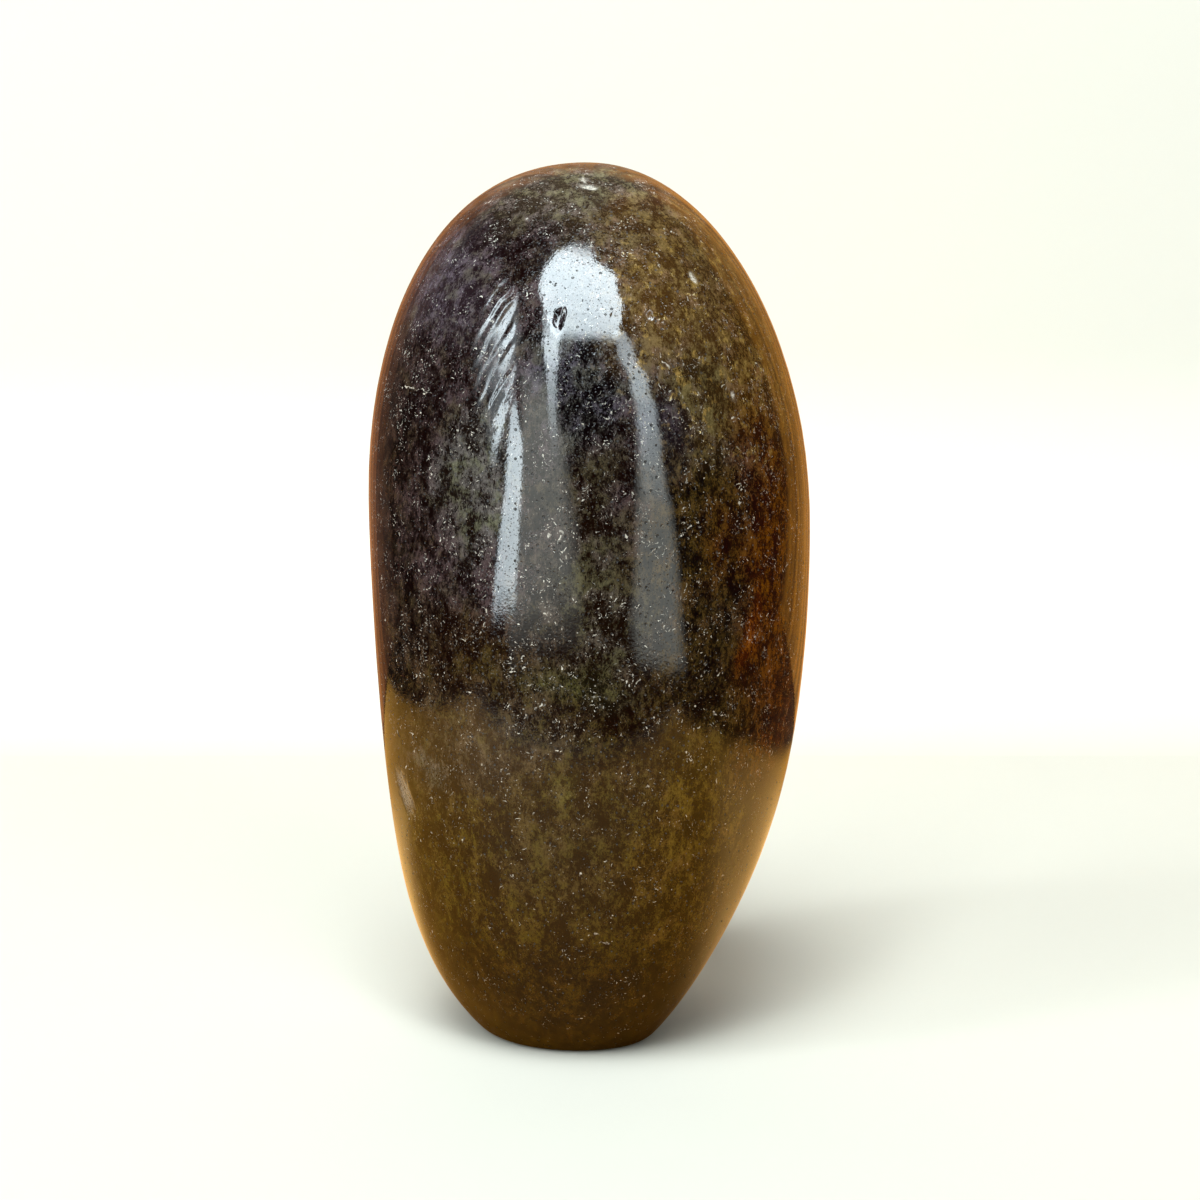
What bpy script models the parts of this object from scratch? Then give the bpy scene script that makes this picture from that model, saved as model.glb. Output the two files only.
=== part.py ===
"""Iolite freeform: one polished stone that stands on a sawn flat base.

Metres, +Z up, front towards -Y, table level at Z = 0. The stone is a rounded pebble form,
described by how far each side stands out from an inner centre at the waist and by how
full its curve is above and below that. A few shallow flats from the grinding wheel
are taken off the round form, and the foot is sawn off level.
"""
import math
from collections import namedtuple

import bmesh
import bpy
from mathutils import Vector

# The waist: the height at which the stone is widest, and the reach of the round form from there.
WAIST_HEIGHT = 0.0582
CROWN_RISE = 0.0420
FOOT_DROP = 0.0622  # the foot would end this far below the waist if it weren't sawn off

# Each side's reach at the waist, and the fullness of its curve: 2 is an ellipse, more is fuller.
Side = namedtuple("Side", "reach upper_fullness lower_fullness")
RIGHT = Side(0.0250, 2.00, 2.20)
LEFT = Side(0.0267, 2.26, 2.40)
FRONT = Side(0.0284, 2.19, 2.62)
BACK = Side(0.0300, 2.19, 2.62)
PLAN_FULLNESS = 2.05

# The long axis bows a little: the crown and the foot both lean towards the left.
CROWN_LEAN = 0.0008
FOOT_LEAN = 0.0020

# Flats left by the wheel: the way each one faces, in degrees, and how deep it is ground.
# Azimuth 0 faces +X and 90 faces +Y. Elevation 90 faces straight up.
Flat = namedtuple("Flat", "azimuth elevation depth")
FLATS = (
    Flat(180, -6, 0.00081),   # long, nearly upright flat down the left side
    Flat(0, -28, 0.00133),    # lower right, where the stone tapers to its foot
    Flat(-128, 4, 0.00030),   # front, left of the middle
    Flat(-52, 2, 0.00030),    # front, right of the middle
    Flat(-94, 40, 0.00035),   # front, just under the crown
    Flat(70, 8, 0.00060),     # back, right of the middle
    Flat(128, -12, 0.00070),  # back, left of the middle
    Flat(95, 44, 0.00050),    # back, just under the crown
)
FLAT_CRISPNESS = 28  # high values give a flat a hard edge, low ones blend it in

# The sawn base has its sharp edge broken all round.
RIM_WIDTH = 0.0005
RIM_STEPS = 2

# Mesh grid: a square patch of cells covers the crown, and rings run from its edge to the base.
PATCH_CELLS = 24
RING_COUNT = 34
RING_SPREAD = 1.4  # over 1 draws the lowest rings closer together
BISECTION_STEPS = 40

STONE_COLOUR = (0.055, 0.045, 0.034, 1.0)
STONE_ROUGHNESS = 0.10
SHARP_ANGLE = math.radians(25)


def clear_scene():
    for thing in list(bpy.data.objects):
        bpy.data.objects.remove(thing, do_unlink=True)


def direction(azimuth, elevation):
    """Unit vector that faces the given way, in radians."""
    level = math.cos(elevation)
    return Vector((level * math.cos(azimuth), level * math.sin(azimuth), math.sin(elevation)))


def round_radius(azimuth, elevation):
    """Distance from the inner centre to the round form, before any flat is ground."""
    across = math.cos(azimuth)
    along = math.sin(azimuth)
    side_x = RIGHT if across > 0 else LEFT
    side_y = BACK if along > 0 else FRONT
    plan = abs(across / side_x.reach) ** PLAN_FULLNESS + abs(along / side_y.reach) ** PLAN_FULLNESS
    reach = plan ** (-1 / PLAN_FULLNESS)
    if elevation >= 0:
        fullness = side_x.upper_fullness * across ** 2 + side_y.upper_fullness * along ** 2
        rise = CROWN_RISE
    else:
        fullness = side_x.lower_fullness * across ** 2 + side_y.lower_fullness * along ** 2
        rise = FOOT_DROP
    level_part = (math.cos(elevation) / reach) ** fullness
    upright_part = (abs(math.sin(elevation)) / rise) ** fullness
    return (level_part + upright_part) ** (-1 / fullness)


def furthest_reach(facing):
    """How far the round form stands out in one direction."""
    reach = 0.0
    for azimuth_step in range(0, 360, 5):
        for elevation_step in range(-90, 91, 3):
            azimuth = math.radians(azimuth_step)
            elevation = math.radians(elevation_step)
            point = direction(azimuth, elevation) * round_radius(azimuth, elevation)
            reach = max(reach, point.dot(facing))
    return reach


def ground_planes():
    """Each flat as the way it faces and its distance from the inner centre."""
    planes = []
    for flat in FLATS:
        facing = direction(math.radians(flat.azimuth), math.radians(flat.elevation))
        planes.append((facing, furthest_reach(facing) - flat.depth))
    return planes


def stone_radius(azimuth, elevation, planes):
    """Distance from the inner centre to the finished surface, flats blended in."""
    ray = direction(azimuth, elevation)
    total = round_radius(azimuth, elevation) ** -FLAT_CRISPNESS
    for facing, distance in planes:
        towards = ray.dot(facing)
        if towards > 0:
            total += (towards / distance) ** FLAT_CRISPNESS
    return total ** (-1 / FLAT_CRISPNESS)


def surface_point(azimuth, elevation, planes):
    """Point of the stone's surface along one ray from the inner centre."""
    point = direction(azimuth, elevation) * stone_radius(azimuth, elevation, planes)
    if point.z > 0:
        point.x -= CROWN_LEAN * (point.z / CROWN_RISE) ** 2
    else:
        point.x -= FOOT_LEAN * (point.z / FOOT_DROP) ** 2
    point.z += WAIST_HEIGHT
    return point


def elevation_at_height(azimuth, height, planes):
    """Elevation of the ray that meets the surface at a given height above the table."""
    low = -math.pi / 2
    high = math.pi / 2
    for _ in range(BISECTION_STEPS):
        middle = (low + high) / 2
        if surface_point(azimuth, middle, planes).z < height:
            low = middle
        else:
            high = middle
    return (low + high) / 2


def patch_edge_walk():
    """Grid positions round the edge of the crown patch, in order."""
    last = PATCH_CELLS
    walk = [(i, 0) for i in range(last)]
    walk += [(last, j) for j in range(last)]
    walk += [(last - i, last) for i in range(last)]
    walk += [(0, last - j) for j in range(last)]
    return walk


def crown_patch(bm, planes):
    """Square patch of cells over the crown; returns its vertices by grid position."""
    grid = {}
    for i in range(PATCH_CELLS + 1):
        for j in range(PATCH_CELLS + 1):
            x = math.tan((i / PATCH_CELLS - 0.5) * math.pi / 2)
            y = math.tan((j / PATCH_CELLS - 0.5) * math.pi / 2)
            azimuth = math.atan2(y, x)
            elevation = math.atan2(1.0, math.hypot(x, y))
            grid[i, j] = bm.verts.new(surface_point(azimuth, elevation, planes))
    for i in range(PATCH_CELLS):
        for j in range(PATCH_CELLS):
            bm.faces.new((grid[i, j], grid[i + 1, j], grid[i + 1, j + 1], grid[i, j + 1]))
    return grid


def side_rings(bm, edge_ring, planes):
    """Rings of cells from the patch's edge down to table level; returns the lowest ring."""
    azimuths = [math.atan2(vert.co.y, vert.co.x + lean_at(vert.co.z)) for vert in edge_ring]
    tops = [vert.co.z for vert in edge_ring]
    upper = edge_ring
    for ring in range(1, RING_COUNT + 1):
        remaining = (1 - ring / RING_COUNT) ** RING_SPREAD
        lower = []
        for azimuth, top in zip(azimuths, tops):
            elevation = elevation_at_height(azimuth, top * remaining, planes)
            lower.append(bm.verts.new(surface_point(azimuth, elevation, planes)))
        for k in range(len(upper)):
            after = (k + 1) % len(upper)
            bm.faces.new((upper[k], lower[k], lower[after], upper[after]))
        upper = lower
    return upper


def lean_at(height):
    """How far the bowed axis has moved to the left at a height above the waist."""
    return CROWN_LEAN * ((height - WAIST_HEIGHT) / CROWN_RISE) ** 2


def sawn_base(bm, base_ring):
    """Level face across the foot, with its edge broken."""
    for vert in base_ring:
        vert.co.z = 0.0
    base = bm.faces.new(base_ring)
    bmesh.ops.recalc_face_normals(bm, faces=bm.faces)
    bmesh.ops.bevel(
        bm,
        geom=list(base.edges),
        offset=RIM_WIDTH,
        segments=RIM_STEPS,
        profile=0.5,
        affect="EDGES",
        clamp_overlap=True,
    )


def stone_material():
    material = bpy.data.materials.new("iolite")
    material.use_nodes = True
    shader = material.node_tree.nodes["Principled BSDF"]
    shader.inputs["Base Color"].default_value = STONE_COLOUR
    shader.inputs["Roughness"].default_value = STONE_ROUGHNESS
    shader.inputs["Metallic"].default_value = 0.0
    return material


def make_stone():
    planes = ground_planes()
    bm = bmesh.new()
    grid = crown_patch(bm, planes)
    edge_ring = [grid[place] for place in patch_edge_walk()]
    base_ring = side_rings(bm, edge_ring, planes)
    sawn_base(bm, base_ring)
    mesh = bpy.data.meshes.new("iolite_stone")
    bm.to_mesh(mesh)
    bm.free()
    mesh.shade_smooth()
    mesh.set_sharp_from_angle(angle=SHARP_ANGLE)
    mesh.materials.append(stone_material())
    stone = bpy.data.objects.new("iolite_stone", mesh)
    bpy.context.collection.objects.link(stone)
    return stone


clear_scene()
make_stone()
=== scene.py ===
# %% [markdown]
# # A polished iolite freeform
#
# The stone is one piece: a dark, speckled lump of iolite that was rounded on a grinding wheel,
# polished all over and sawn flat below so that it stands. This lesson dresses its plain
# solid in three steps: a smooth skin with the marks of grinding and wear, the clouded mineral
# itself, and soft studio light for the polish to reflect.
#
# The solid is loaded first. It gives the sizes, and everything below is placed from it.

# %% Load the solid
import math
from collections import namedtuple

import bmesh
import bpy
import numpy as np
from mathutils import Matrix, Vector, noise
from mathutils.bvhtree import BVHTree


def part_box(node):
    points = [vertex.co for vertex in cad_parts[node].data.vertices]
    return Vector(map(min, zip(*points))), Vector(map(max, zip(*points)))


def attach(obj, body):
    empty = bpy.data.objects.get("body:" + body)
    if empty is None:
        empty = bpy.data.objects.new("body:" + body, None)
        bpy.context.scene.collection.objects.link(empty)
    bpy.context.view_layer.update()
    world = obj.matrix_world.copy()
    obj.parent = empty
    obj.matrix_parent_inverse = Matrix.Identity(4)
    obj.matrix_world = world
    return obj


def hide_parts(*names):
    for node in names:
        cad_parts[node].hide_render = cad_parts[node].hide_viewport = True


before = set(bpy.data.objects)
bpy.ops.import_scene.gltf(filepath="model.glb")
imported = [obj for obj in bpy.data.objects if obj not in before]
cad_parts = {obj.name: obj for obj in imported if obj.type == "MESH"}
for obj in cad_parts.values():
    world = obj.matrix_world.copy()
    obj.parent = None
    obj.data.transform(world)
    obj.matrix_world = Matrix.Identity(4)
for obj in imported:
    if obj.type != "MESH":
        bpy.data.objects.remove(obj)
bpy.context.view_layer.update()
MM = 0.001

stone_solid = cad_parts["iolite_stone"]
stone_low, stone_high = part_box("iolite_stone")
HEIGHT = stone_high.z
print("stone is", [round(v / MM, 1) for v in stone_high - stone_low], "mm")

# %% [markdown]
# ## The camera
#
# The stone is seen from close by, almost level and from a little above its middle. A camera
# that is tipped down only a few degrees keeps the upright lines nearly parallel. Its lens is
# chosen from the angle of view, and its distance is about twice the stone's height.

# %% Camera
CAMERA_PLACE = Vector((0.5, -209.3, 63.8)) * MM
CAMERA_TIP = math.radians(3.86)
CAMERA_LENS = 53.4
CAMERA_NEAREST = 0.01

camera_data = bpy.data.cameras.new("camera")
camera_data.lens = CAMERA_LENS
camera_data.clip_start = CAMERA_NEAREST
camera = bpy.data.objects.new("camera", camera_data)
camera.location = CAMERA_PLACE
camera.rotation_euler = (math.radians(90) - CAMERA_TIP, 0, 0)
bpy.context.collection.objects.link(camera)
bpy.context.scene.camera = camera
print("camera is", round(camera.location.length / HEIGHT, 2), "stone heights away")

# %% [markdown]
# ## The skin
#
# A polished stone mirrors the room, so its surface has to be far smoother than a faceted solid.
# The skin is a fine net of four-sided cells laid over the solid: a square patch covers the
# crown, and rings run from the patch's edge down to the sawn base. Each point of the net is
# found by shooting a ray from inside the stone and taking the place where it leaves. A net like
# this has no pole, where cells would crowd together and pinch the reflection.

# %% Rays from the inside
solid_tree = BVHTree.FromPolygons(
    [vertex.co.copy() for vertex in stone_solid.data.vertices],
    [list(polygon.vertices) for polygon in stone_solid.data.polygons],
)
WAIST = HEIGHT * 0.58  # the stone is widest a little above its middle
AXIS = Vector(((stone_low.x + stone_high.x) / 2, (stone_low.y + stone_high.y) / 2, 0))


def leave_point(height, direction):
    """Where a ray from the stone's middle line at this height leaves the solid."""
    start = AXIS + Vector((0, 0, height))
    place, _, _, _ = solid_tree.ray_cast(start, direction)
    return place


def facing(bearing, elevation=0.0):
    """Unit vector for a bearing in degrees: 0 is the front, 90 the right, 180 the back."""
    turn = math.radians(bearing)
    rise = math.radians(elevation)
    level = math.cos(rise)
    return Vector((level * math.sin(turn), -level * math.cos(turn), math.sin(rise)))


def on_stone(bearing, height_mm):
    """Place on the stone's surface at a bearing and a height above the table."""
    return leave_point(height_mm * MM, facing(bearing))


print("front of the waist is at", [round(v / MM, 1) for v in on_stone(0, WAIST / MM)])

# %% Spacing of the net
PATCH_CELLS = 92
UPPER_RINGS = 46
LOWER_RINGS = 124
LOWER_SPREAD = 1.25  # over 1 draws the rings together near the base
RIM_HEIGHTS = (0.62, 0.44, 0.28, 0.14, 0.03)  # mm, close rings round the broken edge
BASE_STEPS = (0.985, 0.96, 0.9, 0.8, 0.68, 0.55, 0.42, 0.3, 0.18, 0.08)


def patch_direction(i, j):
    """Direction of one point of the crown patch, spaced by equal angles."""
    x = math.tan((i / PATCH_CELLS - 0.5) * math.pi / 2)
    y = math.tan((j / PATCH_CELLS - 0.5) * math.pi / 2)
    return Vector((x, y, 1.0)).normalized()


def patch_edge():
    """Grid positions round the edge of the crown patch, in order."""
    last = PATCH_CELLS
    walk = [(i, 0) for i in range(last)]
    walk += [(last, j) for j in range(last)]
    walk += [(last - i, last) for i in range(last)]
    walk += [(0, last - j) for j in range(last)]
    return walk


def lower_heights():
    """Heights of the rings from below the waist to the rim, in metres."""
    foot = RIM_HEIGHTS[0] * MM
    heights = []
    for ring in range(1, LOWER_RINGS):
        remaining = (1 - ring / LOWER_RINGS) ** LOWER_SPREAD
        heights.append(foot + (WAIST - foot) * remaining)
    return heights + [height * MM for height in RIM_HEIGHTS]


print("crown patch has", len(patch_edge()), "points round its edge")


# %% Lay the net
def join_rings(net, upper, lower):
    """Cells between two rings; returns the lower ring."""
    count = len(upper)
    for k in range(count):
        net.faces.new((upper[k], lower[k], lower[(k + 1) % count], upper[(k + 1) % count]))
    return lower


def lay_net():
    """Crown patch with the rings below it; returns the net and its lowest ring."""
    net = bmesh.new()
    grid = {}
    for i in range(PATCH_CELLS + 1):
        for j in range(PATCH_CELLS + 1):
            grid[i, j] = net.verts.new(leave_point(WAIST, patch_direction(i, j)))
    for i in range(PATCH_CELLS):
        for j in range(PATCH_CELLS):
            net.faces.new((grid[i, j], grid[i + 1, j], grid[i + 1, j + 1], grid[i, j + 1]))
    ring = [grid[place] for place in patch_edge()]
    edges = [patch_direction(*place) for place in patch_edge()]
    level = [Vector((edge.x, edge.y, 0)).normalized() for edge in edges]
    for step in range(1, UPPER_RINGS + 1):
        left = 1 - step / UPPER_RINGS
        lower = []
        for edge, flat in zip(edges, level):
            rise = math.asin(edge.z) * left
            ray = flat * math.cos(rise) + Vector((0, 0, math.sin(rise)))
            lower.append(net.verts.new(leave_point(WAIST, ray)))
        ring = join_rings(net, ring, lower)
    for height in lower_heights():
        ring = join_rings(net, ring, [net.verts.new(leave_point(height, flat)) for flat in level])
    for vertex in ring:
        vertex.co.z = 0.0
    return net, ring


net, rim = lay_net()
print("net has", len(net.faces), "cells before the base")

# %% [markdown]
# ## The sawn base
#
# The foot was cut off with a diamond saw and only lightly ground, so it is flat and dull. Rings
# that shrink towards the middle close the net there. These cells get the second material.

# %% Close the base
SAWN = 1  # place of the sawn finish among the materials; the polished one is 0


def close_base(net, rim):
    """Shrinking rings that close the base, in the second material; returns their middle."""
    middle = sum((vertex.co for vertex in rim), Vector()) / len(rim)
    first = len(net.faces)
    ring = rim
    for share in BASE_STEPS:
        inner = [net.verts.new(middle + (vertex.co - middle) * share) for vertex in rim]
        ring = join_rings(net, ring, inner)
    centre = net.verts.new(middle)
    for k in range(len(ring)):
        net.faces.new((ring[k], centre, ring[(k + 1) % len(ring)]))
    net.faces.ensure_lookup_table()
    for face in net.faces[first:]:
        face.material_index = SAWN
    return middle


base_middle = close_base(net, rim)
bmesh.ops.recalc_face_normals(net, faces=net.faces)
print("base is centred at", [round(v / MM, 1) for v in base_middle])

# %% [markdown]
# ## Smoothing away the facets
#
# The solid's facets are a couple of millimetres wide, and a mirror polish would show every one.
# The net is ironed: each point moves towards the middle of its neighbours, then a little
# further back the other way, many times over. The first move removes the facets, and the
# second stops the stone from shrinking. Points near the base are held, so that the rim stays
# crisp. The moves are done with arrays, because there are many points.

# %% Smooth the net
IRONING_ROUNDS = 70
PRESS = 0.5
RELEASE = -0.518
HELD_BELOW = 0.8 * MM
FREE_ABOVE = 3.5 * MM


def iron(net, rounds, freedom):
    """Press each point towards the mean of its neighbours, release it, and repeat."""
    net.verts.index_update()
    points = np.array([vertex.co for vertex in net.verts])
    ends = np.array([[vertex.index for vertex in edge.verts] for edge in net.edges])
    count = np.bincount(ends.ravel(), minlength=len(points))[:, None]
    for amount in (PRESS, RELEASE) * rounds:
        total = np.zeros_like(points)
        for axis in range(3):
            total[:, axis] = np.bincount(ends[:, 0], points[ends[:, 1], axis], len(points))
            total[:, axis] += np.bincount(ends[:, 1], points[ends[:, 0], axis], len(points))
        points += (total / count - points) * amount * freedom[:, None]
    for vertex, point in zip(net.verts, points):
        vertex.co = point


heights = np.array([vertex.co.z for vertex in net.verts])
freedom = np.clip((heights - HELD_BELOW) / (FREE_ABOVE - HELD_BELOW), 0, 1)
iron(net, IRONING_ROUNDS, freedom)
print("top is now", round(max(vertex.co.z for vertex in net.verts) / MM, 2), "mm")

# %% [markdown]
# ## Marks of the wheel and of wear
#
# The stone was pressed to the wheel by hand, so its surface is never a true curve: it swells and
# dips by a few hundredths of a millimetre, which makes the reflections wander. On the left
# shoulder the wheel chattered and left a fan of short, shallow grooves. Elsewhere there are
# knocks: a long scar on the left flank, a dent near the crown and small chips with pale floors.
# The net gets finer cells round each mark first, so that the mark is a real shape.

# %% Places of the marks
Pit = namedtuple("Pit", "bearing height wide tall deep tilt pale")
PITS = [Pit(*row) for row in (
    # the long scar on the left flank
    (-51.5, 29.6, 1.7, 3.3, 0.1, -34, 0.28),
    # front: the dent, and two bruises to its right
    (-6.8, 80.6, 0.75, 1.4, 0.2, 10, 0),
    (5.7, 80.8, 0.38, 0.38, 0.07, 0, 0),
    (14, 80.6, 0.62, 0.58, 0.24, 0, 0),
    # right shoulder: two pale chips
    (29, 85.2, 0.42, 0.95, 0.12, -25, 1),
    (35, 72.8, 0.4, 0.5, 0.1, 0, 0.8),
    # crown: a pale flaw
    (0, 95.6, 1.35, 0.36, 0.1, 12, 1),
    (-2.5, 96.6, 0.25, 0.55, 0.06, -20, 0.9),
    # sides and back
    (112, 47, 0.9, 1.9, 0.2, 30, 0.4),
    (146, 78, 0.6, 0.8, 0.14, 0, 0.2),
    (-101, 66, 0.5, 1.2, 0.12, -35, 0.5),
    (-150, 24, 1, 2.4, 0.22, 20, 0.4),
    (176, 55, 0.5, 0.6, 0.12, 0, 0),
    (71, 21, 0.6, 0.9, 0.14, 15, 0.5),
)]
CHATTER_HEAD = (-20.3, 83.3)  # bearing and height of the fan's first groove at the crease
CHATTER_FOOT = (-27.8, 77.7)
CHATTER_CENTRE = (-24, 78.5)
CHATTER_REACH = 7.5  # mm from the centre to where the cells may stay coarse
PIT_REACH = 1.5  # the same for a pit, as a share of its longer half
FINE_CUTS = 2


def refine(net, centre, radius):
    """Cut the cells near a place into smaller ones."""
    near = [edge for edge in net.edges if (edge.verts[0].co - centre).length < radius
            and (edge.verts[1].co - centre).length < radius]
    bmesh.ops.subdivide_edges(net, edges=near, cuts=FINE_CUTS, use_grid_fill=True)


for pit in PITS:
    refine(net, on_stone(pit.bearing, pit.height), max(pit.wide, pit.tall) * PIT_REACH * MM)
chatter_head = on_stone(*CHATTER_HEAD)
chatter_foot = on_stone(*CHATTER_FOOT)
refine(net, on_stone(*CHATTER_CENTRE), CHATTER_REACH * MM)
print("net has", len(net.faces), "cells with fine ones round the marks")

# %% Swells left by hand
SWELL = 0.045
SWELL_WIDTH = 13.0
DIP = 0.012
DIP_WIDTH = 4.5


def ease(value, low, high):
    """0 below low, 1 above high, and a smooth rise between."""
    share = min(max((value - low) / (high - low), 0.0), 1.0)
    return share * share * (3 - 2 * share)


def hand_swell(place):
    """Slow swells and dips left by grinding by hand, in mm."""
    slow = noise.noise(place / SWELL_WIDTH) * SWELL
    quick = noise.noise(place / DIP_WIDTH + Vector((7, 3, 5))) * DIP
    return slow + quick - SWELL


print("swell at the crown is", round(hand_swell(Vector((0, 0, HEIGHT / MM))), 3), "mm")

# %% Knocks
PIT_OUTSIDE = 1.6  # a knock ends well inside this share of its longer half
PIT_EDGE = 0.35  # how far a knock's edge wanders, as a share of its size
PIT_EDGE_WIDTH = 1.7  # turns of that wandering in a mm
PIT_FLOOR = 0.35  # share of a knock's reach that is flat
SHELL_STEP = 0.18
SHELL_TURNS = 9


def pit_frame(pit):
    """Middle of a pit in mm, with the directions across and along it."""
    middle = on_stone(pit.bearing, pit.height) / MM
    out = facing(pit.bearing)
    across = Vector((0, 0, 1)).cross(out).normalized()
    turn = math.radians(pit.tilt)
    side = across * math.cos(turn) - Vector((0, 0, 1)) * math.sin(turn)
    along = across * math.sin(turn) + Vector((0, 0, 1)) * math.cos(turn)
    return middle, side, along


PIT_FRAMES = [(pit, *pit_frame(pit)) for pit in PITS]


def pit_depth(place):
    """Depth of the knocks at a place in mm, and how pale their crushed floor is.

    Each knock is a bowl with a ragged edge and shell-like steps.
    """
    depth = pale = 0.0
    for pit, middle, side, along in PIT_FRAMES:
        offset = place - middle
        if offset.length > PIT_OUTSIDE * max(pit.wide, pit.tall):
            continue
        ragged = 1 + PIT_EDGE * noise.noise(place * PIT_EDGE_WIDTH)
        reach = math.hypot(offset.dot(side) / pit.wide, offset.dot(along) / pit.tall) * ragged
        bowl = 1 - ease(reach, PIT_FLOOR, 1.0)
        steps = 1 + SHELL_STEP * math.sin(reach * SHELL_TURNS)
        depth += pit.deep * bowl * steps
        pale = max(pale, pit.pale * bowl)
    return depth, pale


print("there are", len(PIT_FRAMES), "knocks, the deepest", max(pit.deep for pit in PITS), "mm")

# %% Chatter and crease
CHATTER_PITCH = 1.4
CHATTER_DEPTH = 0.06
CHATTER_STEEP = 0.3  # share of each groove's width that its steep side takes
CHATTER_FRONT = -12  # the grooves lie in front of this, in mm
CHATTER_LOWEST = 66
CHATTER_LEFT = (-0.1, 7)  # mm left of the crease
CHATTER_ALONG = (-0.1, 0.6, 2.2, 5.6)  # a groove starts, is full, fades and ends, in mm
CHATTER_ROWS = (-8.0, -5.5, 0.6, 2.6)  # the same for the row of grooves
CREASE = -8.2  # the grooves start at this distance from the middle, in mm
RIPPLE = (-5.6, 3.0, 81.9, 0.022)  # left end, right end, height and depth in mm
RIPPLE_WIDTH = 0.35
CHATTER_OUT = facing((CHATTER_HEAD[0] + CHATTER_FOOT[0]) / 2, 20)
CHATTER_RUN = (chatter_foot - chatter_head).normalized()
CHATTER_ACROSS = CHATTER_RUN.cross(CHATTER_OUT).normalized()


def plateau(value, starts, full, fades, ends):
    """Smooth rise to 1 and smooth fall back to 0."""
    return ease(value, starts, full) * (1 - ease(value, fades, ends))


def chatter_depth(place):
    """Depth in mm of the wheel's chatter grooves, which run down and left from a crease."""
    left = CREASE - place.x
    inside = CHATTER_LEFT[0] < left < CHATTER_LEFT[1]
    if place.y > CHATTER_FRONT or place.z < CHATTER_LOWEST or not inside:
        return 0.0
    across = (place - chatter_head / MM).dot(CHATTER_ACROSS)
    wander = 0.45 * noise.noise(place * 0.45) + 0.1 * noise.noise(place * 2.6)
    phase = ((across + wander) / CHATTER_PITCH) % 1.0
    if phase < CHATTER_STEEP:
        groove = 1 - phase / CHATTER_STEEP
    else:
        groove = (phase - CHATTER_STEEP) / (1 - CHATTER_STEEP)
    fade = plateau(left, *CHATTER_ALONG) * plateau(across, *CHATTER_ROWS)
    return CHATTER_DEPTH * groove * fade * (0.8 + 0.5 * noise.noise(place * 0.8))


def ripple_depth(place):
    """Depth in mm of the faint crease that crosses the front above the dent."""
    left, right, height, depth = RIPPLE
    if place.y > 0 or not left < place.x < right:
        return 0.0
    off = place.z - height + 0.25 * noise.noise(place * 0.7)
    return depth * math.exp(-(off / RIPPLE_WIDTH) ** 2) * ease(place.x, left, left + 1.5)


print("the grooves are", CHATTER_PITCH, "mm apart and", CHATTER_DEPTH, "mm deep")

# %% Carve the skin
HAZE = 0.42  # dullness of the rubbed patch inside the fan
HAZE_STRETCH = Vector((1, 1, 0.5))  # the patch is twice as tall as it is wide
HAZE_FADE = (0.8, 3.2)  # mm from its middle
RIM_HELD = (0.6, 3.0)  # mm above the table: no swell below, the whole swell above
haze_middle = on_stone(-23.5, 76.8) / MM


def carve(net):
    """Push each point of the skin in or out, and note where it is dull and where it is pale."""
    net.normal_update()
    worn = net.verts.layers.float.new("worn")
    pale = net.verts.layers.float.new("pale")
    moves = []
    for vertex in net.verts:
        place = vertex.co / MM
        held = ease(place.z, *RIM_HELD)
        knock, crushed = pit_depth(place)
        grooves = chatter_depth(place) + ripple_depth(place)
        height = hand_swell(place) * held - knock - grooves
        moves.append(vertex.normal * height * MM)
        vertex[pale] = crushed
        rubbed = HAZE_STRETCH * (place - haze_middle)
        vertex[worn] = max(crushed, HAZE * (1 - ease(rubbed.length, *HAZE_FADE)))
    for vertex, move in zip(net.verts, moves):
        vertex.co += move
        vertex.co.z = max(vertex.co.z, 0.0)


carve(net)
skin_mesh = bpy.data.meshes.new("iolite_skin")
net.to_mesh(skin_mesh)
net.free()
skin_mesh.shade_smooth()
skin = bpy.data.objects.new("iolite_skin", skin_mesh)
bpy.context.collection.objects.link(skin)
triangles = sum(len(polygon.vertices) - 2 for polygon in skin_mesh.polygons)
print("skin has", triangles, "triangles")

# %% [markdown]
# ## Short ways to wire a material
#
# The mineral's look is worked out from each point's place in the stone, so it needs no
# pictures and runs on over every side. Materials are trees of small nodes. These helpers add a
# node, set or link its sockets and hand back the socket that matters.

# %% Node helpers
def fill(tree, node, sockets):
    """Set each named input to a value, or link it when it is a socket."""
    for name, value in sockets.items():
        if isinstance(value, bpy.types.NodeSocket):
            tree.links.new(value, node.inputs[name])
        else:
            node.inputs[name].default_value = value
    return node


def add(tree, kind, settings=None, sockets=None):
    node = tree.nodes.new(kind)
    for name, value in (settings or {}).items():
        setattr(node, name, value)
    return fill(tree, node, sockets or {})


def maths(tree, operation, first, second=0.0):
    node = add(tree, "ShaderNodeMath", {"operation": operation})
    return fill(tree, node, {0: first, 1: second}).outputs[0]


def times(tree, first, second):
    return maths(tree, "MULTIPLY", first, second)


NUMBER_RESULTS = ("LENGTH", "DISTANCE", "DOT_PRODUCT")


def vector_maths(tree, operation, first, second=(0, 0, 0)):
    node = add(tree, "ShaderNodeVectorMath", {"operation": operation})
    fill(tree, node, {0: first, 1: second})
    return node.outputs["Value" if operation in NUMBER_RESULTS else "Vector"]


def remap(tree, value, low, high, to_low=0.0, to_high=1.0):
    """Smooth rise from one value to another as the input goes from low to high."""
    node = add(tree, "ShaderNodeMapRange", {"interpolation_type": "SMOOTHSTEP"})
    names = ("Value", "From Min", "From Max", "To Min", "To Max")
    return fill(tree, node, dict(zip(names, (value, low, high, to_low, to_high)))).outputs[0]


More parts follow.
